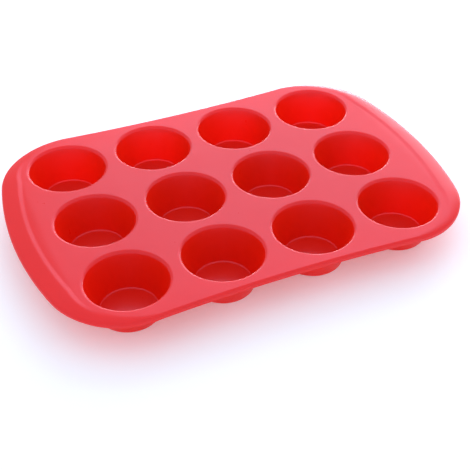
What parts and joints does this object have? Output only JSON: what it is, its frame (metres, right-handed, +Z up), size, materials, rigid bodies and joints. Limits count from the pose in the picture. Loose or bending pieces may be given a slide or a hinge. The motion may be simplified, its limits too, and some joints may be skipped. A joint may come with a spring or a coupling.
{
  "type": "muffin mould",
  "caption": "Flexible baking mould: a flat web of tapered round cups with soft lips, a short folded edge along waisted long sides and a thin crescent grip at each end.",
  "frame": {"origin": "centre of the plan at the level of the cups' undersides, which stand on the table", "axes": "+X along the row of four cups from the left grip to the right grip, +Y from the front row to the back row, +Z up out of the cups"},
  "size_m": [0.368, 0.2492, 0.0322],
  "materials": {
    "silicone": "satin, slightly translucent red silicone"
  },
  "bodies": {
    "root": {"deck": "silicone", "front_lip": "silicone", "back_lip": "silicone", "left_grip": "silicone", "right_grip": "silicone", "cup_front_1": "silicone", "cup_front_2": "silicone", "cup_front_3": "silicone", "cup_front_4": "silicone", "cup_middle_1": "silicone", "cup_middle_2": "silicone", "cup_middle_3": "silicone", "cup_middle_4": "silicone", "cup_back_1": "silicone", "cup_back_2": "silicone", "cup_back_3": "silicone", "cup_back_4": "silicone"}
  },
  "joints": []
}
